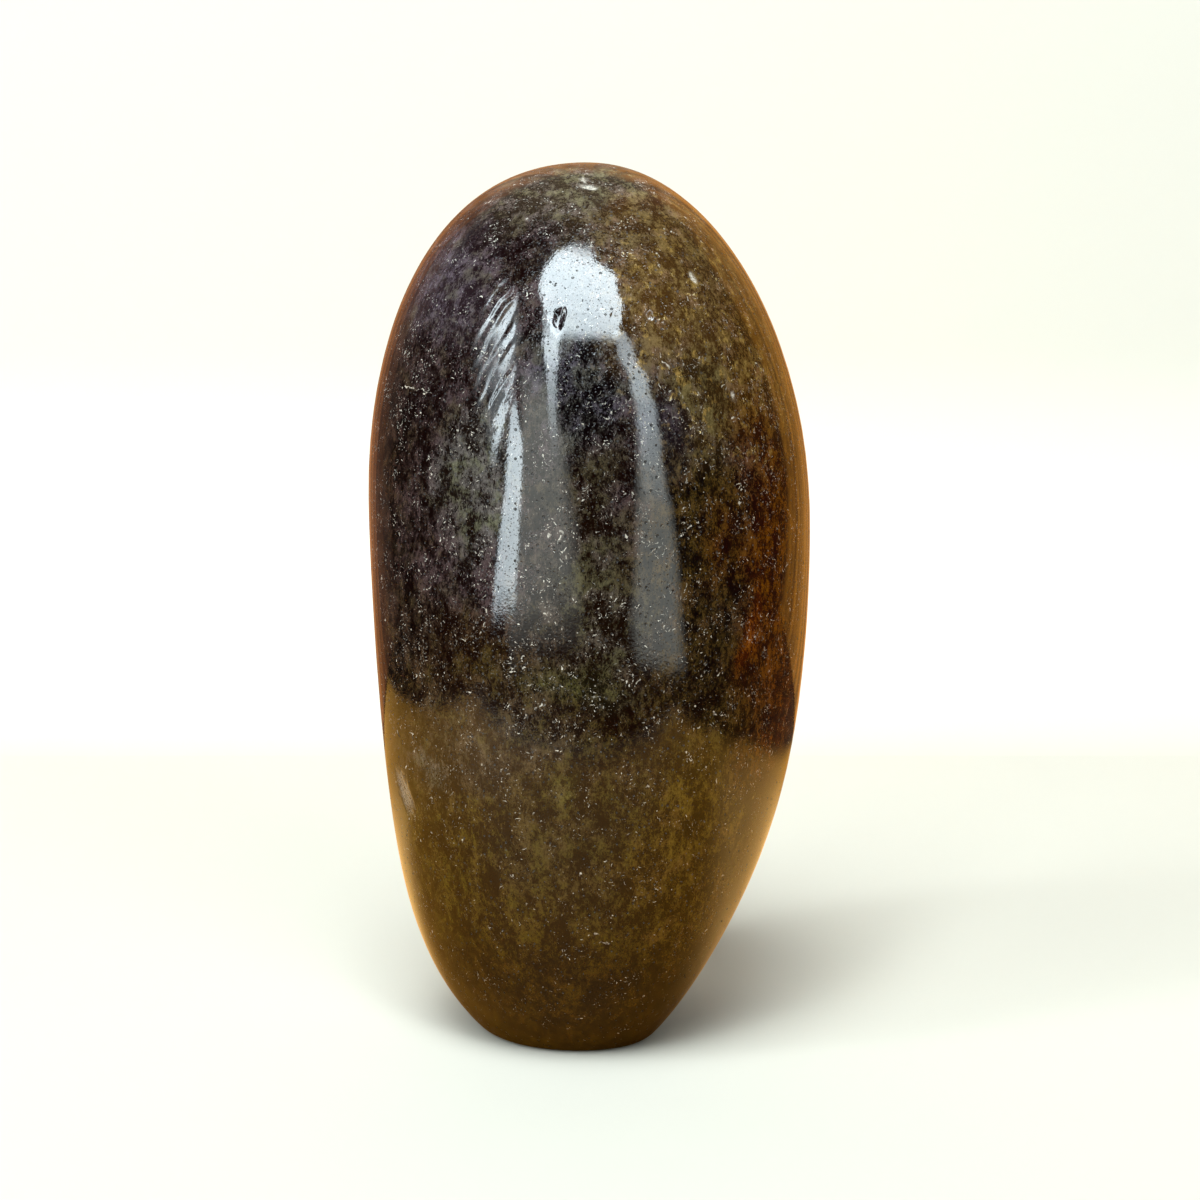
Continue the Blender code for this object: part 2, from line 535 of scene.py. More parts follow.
def blend(tree, share, first, second, mode="MIX"):
    """Mix of two colours."""
    node = add(tree, "ShaderNodeMix", {"data_type": "RGBA", "blend_type": mode})
    return fill(tree, node, {0: share, 6: first, 7: second}).outputs[2]


def tint(tree, first, second):
    """One colour multiplied by another."""
    return blend(tree, 1.0, first, second, "MULTIPLY")


def clouds(tree, place, size, detail=0.0, roughness=0.55, result="Fac"):
    """Cloudy noise whose largest patches are about this wide, in the unit of the place."""
    node = add(tree, "ShaderNodeTexNoise", None, {
        "Vector": place, "Scale": 1 / size, "Detail": detail, "Roughness": roughness})
    return node.outputs[result]


def new_group(name, inputs, outputs):
    """Empty node group with named sockets: a name and a kind, and for inputs a value."""
    tree = bpy.data.node_groups.new(name, "ShaderNodeTree")
    for label, kind, value in inputs:
        socket = tree.interface.new_socket(label, in_out="INPUT", socket_type=kind)
        socket.default_value = value
    for label, kind in outputs:
        tree.interface.new_socket(label, in_out="OUTPUT", socket_type=kind)
    return tree, tree.nodes.new("NodeGroupInput"), tree.nodes.new("NodeGroupOutput")


print("helpers: fill, add, maths, times, vector_maths, remap, blend, tint, clouds, new_group")


# %% [markdown]
# ## The mineral's zones
#
# Iolite in the rough is a mosaic of violet-grey cordierite, black mica and glassy quartz, and
# water has stained it olive, ochre and rust where it could seep in. So the stone has zones:
# violet-grey on the left flank, black down the middle, gold on the right shoulder, rust along
# the right flank and smoky brown below, which is warmed partly as a painted reflection of the
# wooden table. Each zone is a soft ball of space round a place on the stone, with a dark and a
# light colour of its own. Each point of the skin is pushed about by noise before it is measured
# against the zones, so that no edge is a plain curve, and its two colours are noted on the mesh
# for the material to read.

# %% Zones
Zone = namedtuple("Zone", "bearing height reach_xyz softness dark light")  # sizes in mm
GROUND_DARK = (0.003, 0.0003, 0.0003, 1)
GROUND_LIGHT = (0.06, 0.04, 0.037, 1)
ZONES = [Zone(*row) for row in (
    # a warm belt round the middle
    (0, 42, (44, 46, 7), 0.4, (0.005, 0.001, 0.0002), (0.051, 0.029, 0.01)),
    # lower third: smoky olive-brown, warmed partly as a painted reflection of the wooden table
    (0, 4, (44, 46, 32), 0.2, (0.0115, 0.004, 0.0001), (0.078, 0.049, 0.007)),
    (28, 20, (9, 12, 17), 0.5, (0.018, 0.008, 0.0003), (0.125, 0.072, 0.012)),
    (0, 2, (26, 26, 12), 0.4, (0.005, 0.0013, 0.0001), (0.056, 0.028, 0.002)),
    # violet haze that drifts down the middle of the lower third
    (-20, 36, (8, 9, 5), 0.6, (0.01, 0.005, 0.003), (0.074, 0.052, 0.026)),
    (-6, 27, (7, 9, 8), 0.6, (0.009, 0.004, 0.001), (0.068, 0.046, 0.014)),
    # crown: grey-green in the middle, gold to the right
    (10, 97, (13, 12, 8), 0.5, (0.034, 0.021, 0.012), (0.185, 0.146, 0.106)),
    (70, 91, (11, 12, 8), 0.5, (0.066, 0.016, 0.001), (0.27, 0.15, 0.062)),
    (38, 87.5, (4.5, 6, 4), 0.6, (0.064, 0.031, 0.01), (0.255, 0.16, 0.078)),
    # left shoulder: blue-violet
    (-42, 85, (7, 8, 6), 0.5, (0.014, 0.007, 0.009), (0.092, 0.073, 0.08)),
    # left flank: a grey-green patch, a black one, and painted shade on the limb towards the back
    (-27, 64, (4.5, 6, 7), 0.6, (0.005, 0.002, 0.001), (0.108, 0.099, 0.082)),
    (-50, 46, (7, 8, 6), 0.6, (0.002, 0, 0), (0.054, 0.035, 0.021)),
    (-84, 62, (11, 18, 28), 0.5, (0.002, 0.0004, 0.0001), (0.038, 0.018, 0.008)),
    # black heart of the front
    (-1, 74, (6, 7, 8), 0.4, (0.001, 0.0002, 0.0005), (0.07, 0.061, 0.068)),
    (0, 64, (5, 6, 5), 0.5, (0.003, 0.0004, 0.0001), (0.052, 0.038, 0.026)),
    (3, 51, (6.5, 7, 9), 0.5, (0.005, 0.0014, 0.0002), (0.072, 0.058, 0.039)),
    (24, 58, (4.5, 8, 13), 0.5, (0.002, 0.0002, 0.0001), (0.068, 0.037, 0.009)),
    # right shoulder: gold and brown
    (34, 84, (12, 13, 10), 0.4, (0.042, 0.018, 0.004), (0.172, 0.1, 0.042)),
    (27, 73, (5, 7, 6), 0.5, (0.027, 0.013, 0.003), (0.14, 0.098, 0.048)),
    (50, 74, (6, 9, 8), 0.5, (0.046, 0.017, 0.001), (0.195, 0.1, 0.03)),
    (16.5, 69.5, (1.5, 5, 4.2), 0.6, (0.005, 0.002, 0.004), (0.06, 0.048, 0.055)),
    # right flank: rust
    (56, 56, (9, 17, 15), 0.4, (0.02, 0.002, 0.0001), (0.165, 0.053, 0.001)),
    (60, 38, (7, 10, 8), 0.7, (0.028, 0.005, 0.0001), (0.185, 0.058, 0.003)),
    (37.8, 47.5, (1, 3, 4), 0.7, (0.05, 0.008, 0.0001), (0.28, 0.085, 0.005)),
    # olive patches
    (-5, 32.2, (1.3, 5, 2.4), 0.6, (0.018, 0.011, 0.002), (0.112, 0.086, 0.026)),
    (-7, 43, (5, 5, 2.5), 0.7, (0.006, 0.004, 0.001), (0.074, 0.06, 0.026)),
    (-41, 33, (1.9, 4, 1.9), 0.6, (0.016, 0.012, 0.007), (0.104, 0.088, 0.062)),
    # the back repeats these on its own plan
    (150, 80, (16, 14, 13), 0.4, (0.01, 0.004, 0.006), (0.106, 0.084, 0.084)),
    (-140, 52, (12, 12, 20), 0.4, (0.016, 0.007, 0.001), (0.13, 0.092, 0.044)),
    (165, 40, (9, 12, 15), 0.5, (0.003, 0.001, 0.001), (0.066, 0.048, 0.044)),
    (118, 56, (8, 9, 16), 0.5, (0.03, 0.006, 0.0002), (0.17, 0.075, 0.016)),
)]
GOLD_ZONE = Zone(38, 80, (13, 13, 14), 0.5, None, None)
print("there are", len(ZONES), "zones")

# %% Note the zones on the skin
SLOW_PUSH = (8, 4.2)  # width and reach in mm
QUICK_PUSH = (3, 1.4)
PUSH_SEED = 29  # without a seed, noise_vector gives another result on each run


def pushed_points(points):
    """The points in mm, moved about by slow noise so that zones get wandering edges."""
    noise.seed_set(PUSH_SEED)
    moved = []
    for point in map(Vector, points):
        slow = noise.noise_vector(point / SLOW_PUSH[0]) * SLOW_PUSH[1]
        quick = noise.noise_vector(point / QUICK_PUSH[0]) * QUICK_PUSH[1]
        moved.append(point + slow + quick)
    return np.array(moved)


def zone_share(points, zone):
    """How much of each point belongs to a zone, from 0 to 1."""
    centre = on_stone(zone.bearing, zone.height) / MM
    distance = np.linalg.norm((points - np.array(centre)) / np.array(zone.reach_xyz), axis=1)
    share = np.clip((1 + zone.softness - distance) / (2 * zone.softness), 0, 1)
    return (share * share * (3 - 2 * share))[:, None]


def note_colours(mesh):
    """Write each point's dark colour, light colour and share of gold on the mesh."""
    points = np.array([vertex.co / MM for vertex in mesh.vertices])
    pushed = pushed_points(points)
    dark = np.tile(GROUND_DARK, (len(points), 1))
    light = np.tile(GROUND_LIGHT, (len(points), 1))
    for zone in ZONES:
        share = zone_share(pushed, zone)
        dark += (np.array((*zone.dark, 1)) - dark) * share
        light += (np.array((*zone.light, 1)) - light) * share
    for name, colours in (("dark rock", dark), ("light rock", light)):
        layer = mesh.attributes.new(name, "FLOAT_COLOR", "POINT")
        layer.data.foreach_set("color", colours.ravel())
    layer = mesh.attributes.new("gold", "FLOAT", "POINT")
    layer.data.foreach_set("value", zone_share(points, GOLD_ZONE).ravel())


note_colours(skin_mesh)
print("noted the colours of", len(ZONES), "zones at", len(skin_mesh.vertices), "points")

# %% [markdown]
# ## The mineral group
#
# One node group makes the mineral, because both the polished and the sawn surface cut through
# the same rock. Within a zone the grains run from its dark to its light colour by a cloudy
# noise of many sizes, and another noise tips the light grains towards violet or olive. Small
# bright flakes are partly mica and healed cracks and partly painted glints, specks that stand
# in for pit rims catching the light. The group gives out the colour, a mask of open pits and a
# height in mm for the tiny relief that polishing leaves.

# %% Places in the rock
def rock_place(tree):
    """Place in the stone in mm."""
    coordinates = add(tree, "ShaderNodeTexCoord").outputs["Object"]
    return vector_maths(tree, "MULTIPLY", coordinates, (1 / MM, 1 / MM, 1 / MM))


def pushed_place(tree, place, size, reach):
    """Place moved about by cloudy noise, up to about half the reach each way."""
    push = clouds(tree, place, size, 1.0, 0.6, "Color")
    push = vector_maths(tree, "SUBTRACT", push, (0.5, 0.5, 0.5))
    push = vector_maths(tree, "MULTIPLY", push, (reach, reach, reach))
    return vector_maths(tree, "ADD", place, push)


def dots(tree, place, size, share, radius, edge):
    """Scattered round dots: one in some of the random cells, each with its own radius, in mm."""
    cell = add(tree, "ShaderNodeTexVoronoi", None, {"Vector": place, "Scale": 1 / size})
    luck = add(tree, "ShaderNodeSeparateColor", None, {"Color": cell.outputs["Color"]}).outputs[0]
    chosen = remap(tree, luck, 1 - share, 1.0, 0.0, radius)
    inside = maths(tree, "SUBTRACT", chosen, times(tree, cell.outputs["Distance"], size))
    return remap(tree, inside, 0.0, edge)


print("places in the rock run up to", round(HEIGHT / MM, 1), "mm")

# %% Grains, flakes and scratches
GRAIN_SIZE = 2.4
GRAIN_LIGHTNESS = (0.445, 0.62)  # the cloud's values where grains are all dark and all light
DRAWN_UP = (1.0, 1.0, 0.68)  # grains are drawn out upright
UPRIGHT_STROKES = (1.0, 1.0, 0.42)
LEVEL_STROKES = (0.45, 0.45, 1.0)
FLAKE_AND_GLINT_SIZES = (0.16, 0.17, 0.42)  # upright strokes, level strokes and spots, in mm
FINE_FLAKES_AND_GLINTS = (0.83, 0.93)  # the cloud's values where a flake begins and where it is full
LARGE_FLAKES_AND_GLINTS = (0.82, 0.88)
SWIRL = (0.9, 1.3)  # width and reach in mm of the swirls that the flakes follow
SCRATCH_EDGES = (0.05, 0.13)  # half widths of a scratch in mm, full and faded
SCRATCHES = (  # the bearing and height of both ends of each
    ((-52.7, 73.9), (-41, 73.2)), ((0, 15.8), (2.6, 15.9)), ((3, 14.6), (6, 14.9)),
    ((26.5, 39.9), (30.6, 38.9)), ((15.5, 77), (22, 71)),
    ((-139, 61), (-133, 63)), ((160, 33), (166, 36)),
)


def grain_mix(tree, place):
    """Share of light grains: clouds of every size, from patches down to single grains."""
    drawn = vector_maths(tree, "MULTIPLY", place, DRAWN_UP)
    cloud = clouds(tree, drawn, GRAIN_SIZE, 5.0, 0.98)
    dark, light = GRAIN_LIGHTNESS
    share = add(tree, "ShaderNodeMapRange", None, {
        "Value": cloud, "From Min": dark, "From Max": light}).outputs[0]
    return maths(tree, "POWER", share, 1.2)


def flake_and_glint_mask(tree, swirl, crowd):
    """Mica flakes and painted glints: bright specks and short strokes, closer together where the
    crowd value is high.
    """
    upright = vector_maths(tree, "MULTIPLY", swirl, UPRIGHT_STROKES)
    level = vector_maths(tree, "MULTIPLY", swirl, LEVEL_STROKES)
    strokes = clouds(tree, upright, FLAKE_AND_GLINT_SIZES[0])
    ticks = clouds(tree, level, FLAKE_AND_GLINT_SIZES[1])
    spots = clouds(tree, swirl, FLAKE_AND_GLINT_SIZES[2], 1.0, 0.5)
    fine = maths(tree, "ADD", maths(tree, "MAXIMUM", strokes, ticks), crowd)
    large = maths(tree, "ADD", spots, crowd)
    return maths(tree, "MAXIMUM", remap(tree, fine, *FINE_FLAKES_AND_GLINTS), remap(tree, large, *LARGE_FLAKES_AND_GLINTS))


def scratch_mask(tree, wavy):
    """Thin pale lines: old scratches, each a wavy stroke between two places on the stone."""
    mask = 0.0
    for begins, ends in SCRATCHES:
        start = on_stone(*begins) / MM
        run = on_stone(*ends) / MM - start
        offset = vector_maths(tree, "SUBTRACT", wavy, start)
        along = vector_maths(tree, "DOT_PRODUCT", offset, run / run.length_squared)
        along = add(tree, "ShaderNodeClamp", None, {"Value": along}).outputs[0]
        nearest = add(tree, "ShaderNodeVectorMath", {"operation": "SCALE"}, {0: run, "Scale": along})
        gap = vector_maths(tree, "DISTANCE", offset, nearest.outputs[0])
        mask = maths(tree, "MAXIMUM", mask, remap(tree, gap, *SCRATCH_EDGES, 1.0, 0.0))
    breaks = clouds(tree, wavy, 0.45)
    return times(tree, mask, remap(tree, breaks, 0.38, 0.56, 0.25, 0.8))


print("there are", len(SCRATCHES), "scratches")

# %% Rock colour
VIOLET = (1.0, 0.95, 1.04, 1)
OLIVE = (1.0, 1.05, 0.8, 1)
GOLD = (0.29, 0.175, 0.045, 1)
# colours of the flakes, which are partly mica and partly painted glints of pit rims catching the
# light
FLAKE_AND_GLINT_COOL = (0.66, 0.61, 0.52, 1)
FLAKE_AND_GLINT_WARM = (0.75, 0.58, 0.28, 1)
CRUSHED = (0.6, 0.53, 0.44, 1)
# painted shade in the open pits, which mirror the light away
PIT_PAINTED_SHADE = (0.004, 0.003, 0.003, 1)
TINT_SIZE = 2.4
PATCH_SIZE = 1.0
GOLD_PATCHES = (0.56, 0.61)  # the patch noise's values where gold begins and is full
BRIGHT_FLAKES_AND_GLINTS = (0.4, 0.6, 0.38, 1.0)  # its values for dim and bright flakes, and how bright
FLAKE_AND_GLINT_COVER = 0.8
PIT_SHADE_COVER = 0.7


def tinted_light(tree, light, hue, place_x):
    """Light grains tipped towards violet on the left and olive on the right."""
    side = remap(tree, place_x, -20.0, 16.0, -0.06, 0.06)
    lean = remap(tree, maths(tree, "ADD", hue, side), 0.41, 0.6)
    return tint(tree, light, blend(tree, lean, VIOLET, OLIVE))


def flake_and_glint_crowd(tree, hue, place_z):
    """How closely the flakes and painted glints lie: more above the lower third, and more among
    violet grains.
    """
    upper = remap(tree, place_z, 20.0, 46.0, 0.01, 0.05)
    return maths(tree, "ADD", upper, remap(tree, hue, 0.38, 0.6, 0.065, -0.055))


print("flakes cover", FLAKE_AND_GLINT_COVER, "of the rock under them")

# %% Polishing relief
PIT_SPACING = 0.58
PIT_SHARE = 0.8  # of the places that could hold a pit
PIT_RADIUS = 0.17
PIT_BLUR = 0.05
PIT_DEPTH = 0.06
WEAR_SIZE = 0.3
RELIEF = 0.0045
BUMP_SIZE = 0.16
BUMP_STARTS = (0.7, 0.86)  # the cloud's values where a grain begins to stand and is at its height
BUMP_HEIGHT = 0.013


def relief_height(tree, place, bumps, pits):
    """Height in mm: gentle wear, a few standing grains, and the pits."""
    wear = clouds(tree, place, WEAR_SIZE, 1.0, 0.6)
    relief = times(tree, wear, RELIEF)
    relief = maths(tree, "ADD", relief, remap(tree, bumps, *BUMP_STARTS, 0.0, BUMP_HEIGHT))
    return maths(tree, "SUBTRACT", relief, times(tree, pits, PIT_DEPTH))


print("standing grains rise", BUMP_HEIGHT, "mm, and pits sink", PIT_DEPTH, "mm")


# %% Mineral group
def make_mineral():
    """The group: colour, mask of open pits, and height of the relief."""
    tree, inside, outside = new_group(
        "iolite mineral",
        [("Dark", "NodeSocketColor", GROUND_DARK), ("Light", "NodeSocketColor", GROUND_LIGHT),
         ("Gold", "NodeSocketFloat", 0.0), ("Pale", "NodeSocketFloat", 0.0),
         ("Flake and glint amount", "NodeSocketFloat", 1.0), ("Pit amount", "NodeSocketFloat", 1.0)],
        [("Colour", "NodeSocketColor"), ("Pits", "NodeSocketFloat"), ("Height", "NodeSocketFloat")])
    place = rock_place(tree)
    axes = add(tree, "ShaderNodeSeparateXYZ", None, {"Vector": place}).outputs
    hue = clouds(tree, place, TINT_SIZE, 2.0, 0.6)
    patches = clouds(tree, place, PATCH_SIZE, 2.0, 0.65)
    light = tinted_light(tree, inside.outputs["Light"], hue, axes["X"])
    gold = times(tree, remap(tree, patches, *GOLD_PATCHES), inside.outputs["Gold"])
    light = blend(tree, gold, light, GOLD)
    colour = blend(tree, grain_mix(tree, place), inside.outputs["Dark"], light)

    swirl = pushed_place(tree, place, *SWIRL)
    flakes_and_glints = flake_and_glint_mask(tree, swirl, flake_and_glint_crowd(tree, hue, axes["Z"]))
    flakes_and_glints = times(tree, flakes_and_glints, remap(tree, patches, *BRIGHT_FLAKES_AND_GLINTS))
    flakes_and_glints = times(tree, flakes_and_glints, inside.outputs["Flake and glint amount"])
    shine = blend(tree, remap(tree, gold, 0.0, 0.5), FLAKE_AND_GLINT_COOL, FLAKE_AND_GLINT_WARM)
    # flakes and painted glints lighten the rock: mica, and specks that stand in for glinting pit rims
    colour = blend(tree, times(tree, flakes_and_glints, FLAKE_AND_GLINT_COVER), colour, shine)
    bumps = clouds(tree, place, BUMP_SIZE)
    powder = remap(tree, bumps, 0.36, 0.58, 0.25, 1.0)
    crushed = times(tree, inside.outputs["Pale"], powder)
    colour = blend(tree, maths(tree, "MAXIMUM", crushed, scratch_mask(tree, swirl)), colour, CRUSHED)

    pits = dots(tree, place, PIT_SPACING, PIT_SHARE, PIT_RADIUS, PIT_BLUR)
    pits = times(tree, pits, inside.outputs["Pit amount"])
    # open pits are painted dark, a painted shade
    colour = blend(tree, times(tree, pits, PIT_SHADE_COVER), colour, PIT_PAINTED_SHADE)
    height = relief_height(tree, place, bumps, pits)
    fill(tree, outside, {"Colour": colour, "Pits": pits, "Height": height})
    return tree


mineral = make_mineral()
print("mineral group has", len(mineral.nodes), "nodes")

# %% [markdown]
# ## Two finishes of one rock
#
# The polished surface is glassy: a very low roughness gives it a clear reflection of the
# room, and the pits and soft grains break it up. The sawn base is the same rock, rough and
# greyed by saw dust, with the fine parallel lines of the blade.

# %% Polished and sawn materials
IOLITE_IOR = 1.54
POLISH = 0.05
WORN_ROUGHNESS = 0.45
SAW_DUST = (0.16, 0.15, 0.14, 1)
SAW_STRETCH = (0.12, 3.0, 1.0)  # the blade's lines run from side to side
SAW_RELIEF = 0.02


def new_material(name):
    material = bpy.data.materials.new(name)
    material.use_nodes = True
    return material, material.node_tree, material.node_tree.nodes["Principled BSDF"]


def note(tree, name):
    """A value or colour that was noted on the mesh."""
    return add(tree, "ShaderNodeAttribute", {"attribute_name": name}).outputs


def mineral_node(tree, flake_and_glint_amount, pit_amount):
    """The mineral group, fed with what was noted on the mesh."""
    node = add(tree, "ShaderNodeGroup", {"node_tree": mineral})
    return fill(tree, node, {
        "Dark": note(tree, "dark rock")["Color"], "Light": note(tree, "light rock")["Color"],
        "Gold": note(tree, "gold")["Fac"], "Pale": note(tree, "pale")["Fac"],
        "Flake and glint amount": flake_and_glint_amount, "Pit amount": pit_amount})


def polished_material():
    material, tree, shader = new_material("polished iolite")
    rock = mineral_node(tree, 1.0, 1.0)
    dull = maths(tree, "MAXIMUM", rock.outputs["Pits"], note(tree, "worn")["Fac"])
    roughness = remap(tree, dull, 0.0, 1.0, POLISH, WORN_ROUGHNESS)
    bump = add(tree, "ShaderNodeBump", None, {
        "Strength": 1.0, "Distance": MM, "Height": rock.outputs["Height"]})
    fill(tree, shader, {"Base Color": rock.outputs["Colour"], "Roughness": roughness,
                        "IOR": IOLITE_IOR, "Normal": bump.outputs["Normal"]})
    return material


def sawn_material():
    material, tree, shader = new_material("sawn iolite")
    rock = mineral_node(tree, 0.6, 0.5)
    stretched = vector_maths(tree, "MULTIPLY", rock_place(tree), SAW_STRETCH)
    lines = clouds(tree, stretched, 1.0, 3.0, 0.6)
    dusty = remap(tree, lines, 0.35, 0.7, 0.15, 0.45)
    colour = blend(tree, dusty, rock.outputs["Colour"], SAW_DUST)
    grooves = times(tree, lines, SAW_RELIEF)
    height = maths(tree, "ADD", rock.outputs["Height"], grooves)
    bump = add(tree, "ShaderNodeBump", None, {"Strength": 1.0, "Distance": MM, "Height": height})
    roughness = remap(tree, lines, 0.3, 0.7, 0.5, 0.72)
    fill(tree, shader, {"Base Color": colour, "Roughness": roughness,
                        "IOR": IOLITE_IOR, "Normal": bump.outputs["Normal"]})
    return material


skin_mesh.materials.append(polished_material())
skin_mesh.materials.append(sawn_material())
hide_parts("iolite_stone")
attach(skin, "root")
print("skin has", len(skin_mesh.materials), "finishes")

# %% [markdown]
# ## The table, floor and wall
#
# The stone stands on a small pale table in front of a pale wall that curves down to the floor.
# The table's edges matter, because the polish mirrors them: the front of the stone shows the
# table only in its lower third. A wide floor of the same colour carries on for the camera
# alone, and the stone does not mirror it.
#
# A stone like this looks best on warm wood, whose colour glows in its lower part and along
# both sides. The camera sees plain paper, and the rays that the stone mirrors meet wood, which
# carries painted shade near the stone and painted sunlight beside it. The wood fades to black
# towards the sheets' edges, a painted shade on the table, so that these are soft in the polish.

# %% Sizes of the studio, in metres
TABLE_LEFT = -0.25
TABLE_RIGHT = 0.16
TABLE_FRONT = -0.14
TABLE_BACK = 0.19
FLOOR_REACH = 1.2
WALL_HALF_WIDTH = 0.6
WALL_FOOT = 0.2
WALL_TOP = 0.6
COVE_RADIUS = 0.1
COVE_STEPS = 16
SHEET_DROP = 0.00005  # keeps the sheets just clear of the stone's base
print("table is", round(TABLE_RIGHT - TABLE_LEFT, 2), "by", round(TABLE_BACK - TABLE_FRONT, 2), "m")

# %% Wood of the table, in metres
# the near wood is darkened by painted shade, and the wood beside the stone is lit by painted sunlight
WOOD_NEAR_SHADED = (0.33, 0.125, 0.0, 1)
WOOD_FAR = (0.64, 0.28, 0.022, 1)
WOOD_BESIDE_SUNLIT = (0.95, 0.47, 0.12, 1)
NEAR_TO_FAR = (0.03, 0.16)
NEAR_SHAPE = (1, 0.4, 0)  # the near wood reaches further to the front than to the sides
SHADE_UNDER = (0.022, 0.042, 0.84, 1.0)  # the stone's own shade: from, to, darkest, none
BESIDE_STARTS = (-0.012, 0.022)  # the bright wood starts level with the stone's middle
BESIDE_TURN = 0.38  # and further forward on the right
BESIDE_ENDS = (0.08, 0.16)
TABLE_SKEW = 0.42  # how fast the wood's right edge draws in towards the back
# width of the painted shade along the table's edges
EDGE_SHADE_WIDTH = 0.03


def inside_table(tree, axes):
    """Distance in from the nearest edge of the wood, less than nothing outside it."""
    left = maths(tree, "SUBTRACT", axes["X"], TABLE_LEFT)
    right = maths(tree, "SUBTRACT", TABLE_RIGHT, axes["X"])
    skewed = maths(tree, "SUBTRACT", right, times(tree, axes["Y"], TABLE_SKEW))
    front = maths(tree, "SUBTRACT", axes["Y"], TABLE_FRONT)
    return maths(tree, "MINIMUM", maths(tree, "MINIMUM", left, right),
                 maths(tree, "MINIMUM", skewed, front))


def table_wood(tree, place):
    """Painted shade near the stone, brighter further off, painted sunlight beside it, painted shade
    towards the edges.
    """
    axes = add(tree, "ShaderNodeSeparateXYZ", None, {"Vector": place}).outputs
    distance = vector_maths(tree, "LENGTH", place)
    shaped = vector_maths(tree, "LENGTH", vector_maths(tree, "MULTIPLY", place, NEAR_SHAPE))
    wood = blend(tree, remap(tree, shaped, *NEAR_TO_FAR), WOOD_NEAR_SHADED, WOOD_FAR)
    wood = tint(tree, wood, remap(tree, distance, *SHADE_UNDER))
    behind = maths(tree, "ADD", axes["Y"], times(tree, axes["X"], BESIDE_TURN))
    beside = times(tree, remap(tree, behind, *BESIDE_STARTS),
                   remap(tree, distance, *BESIDE_ENDS, 1.0, 0.0))
    wood = blend(tree, beside, wood, WOOD_BESIDE_SUNLIT)
    # painted shade darkens the wood towards the table's edges
    return tint(tree, wood, remap(tree, inside_table(tree, axes), 0.0, EDGE_SHADE_WIDTH))


print("wood darkens over the last", EDGE_SHADE_WIDTH, "m before the table's edges")

# %% Wood of the wall, in metres
WOOD_WALL_LEFT = (0.25, 0.066, 0.01, 1)
WOOD_WALL_RIGHT = (0.46, 0.17, 0.012, 1)
WALL_LEFT_TO_RIGHT = (-0.3, 0.3)
BOARD = 0.05
BOARD_SHADES = (0.38, 0.6, 0.4, 1.4)  # cloud values of the darkest and palest board, and their shades
WALL_FADES_LEFT = (-0.46, -0.12, 0.2, 1.0)
WALL_FADES_RIGHT = (0.45, 0.59, 1.0, 0.0)
WALL_FADES_UP = (0.42, 0.6, 1.0, 0.0)


def wall_wood(tree, place):
    """Upright boards of many shades, browner to the left, that fade out on three sides."""
    axes = add(tree, "ShaderNodeSeparateXYZ", None, {"Vector": place}).outputs
    wood = blend(tree, remap(tree, axes["X"], *WALL_LEFT_TO_RIGHT), WOOD_WALL_LEFT, WOOD_WALL_RIGHT)
    boards = clouds(tree, vector_maths(tree, "MULTIPLY", place, (1, 0, 0)), BOARD, 2.0, 0.7)
    shade = remap(tree, boards, *BOARD_SHADES)
    left = remap(tree, axes["X"], *WALL_FADES_LEFT)
    right = remap(tree, axes["X"], *WALL_FADES_RIGHT)
    top = remap(tree, axes["Z"], *WALL_FADES_UP)
    fade = times(tree, times(tree, left, right), top)
    return tint(tree, wood, times(tree, shade, fade))


print("wall's boards are about", BOARD, "m wide")

# %% Paper that mirrors as wood
PAPER = (0.62, 0.57, 0.49, 1)
PAPER_ROUGHNESS = 0.7


def over_wood(name, wood_colour, paper_rays):
    """Paper for the named kinds of ray and wood for the others; wood_colour wires the wood."""
    material, tree, shader = new_material(name)
    place = add(tree, "ShaderNodeTexCoord").outputs["Object"]
    rays = add(tree, "ShaderNodeLightPath").outputs
    paper = 0.0
    for kind in paper_rays:
        paper = maths(tree, "MAXIMUM", paper, rays[kind])
    colour = blend(tree, paper, wood_colour(tree, place), PAPER)
    fill(tree, shader, {"Base Color": colour, "Roughness": PAPER_ROUGHNESS})
    return material


table_paper = over_wood("paper over wood", table_wood, ["Is Camera Ray"])
wall_paper = over_wood("wall paper", wall_wood, ["Is Camera Ray", "Is Diffuse Ray"])
print("made", table_paper.name, "and", wall_paper.name)


# %% Lay the table, floor and wall
def stage_piece(name, net, material):
    """Object made from a net of cells and handed over as part of the stage."""
    mesh = bpy.data.meshes.new(name)
    net.to_mesh(mesh)
    net.free()
    mesh.materials.append(material)
    piece = bpy.data.objects.new(name, mesh)
    bpy.context.collection.objects.link(piece)
    return piece


def make_sheet(name, quads, material, smooth=False):
    """Sheet from quads given as four corners each, joined where the corners meet."""
    sheet = bmesh.new()
    for corners in quads:
        sheet.faces.new([sheet.verts.new(corner) for corner in corners]).smooth = smooth
    bmesh.ops.remove_doubles(sheet, verts=sheet.verts, dist=1e-6)
    return stage_piece(name, sheet, material)


def flat_quad(x0, y0, x1, y1):
    z = -SHEET_DROP
    return [(x0, y0, z), (x1, y0, z), (x1, y1, z), (x0, y1, z)]


def wall_quads():
    """The wall's strips, from the floor up through the curved cove."""
    profile = []
    for step in range(COVE_STEPS + 1):
        turn = math.radians(90) * step / COVE_STEPS
        profile.append((WALL_FOOT + COVE_RADIUS * math.sin(turn),
                        COVE_RADIUS * (1 - math.cos(turn)) - SHEET_DROP))
    profile.append((WALL_FOOT + COVE_RADIUS, WALL_TOP))
    w = WALL_HALF_WIDTH
    return [[(-w, y0, z0), (w, y0, z0), (w, y1, z1), (-w, y1, z1)]
            for (y0, z0), (y1, z1) in zip(profile, profile[1:])]


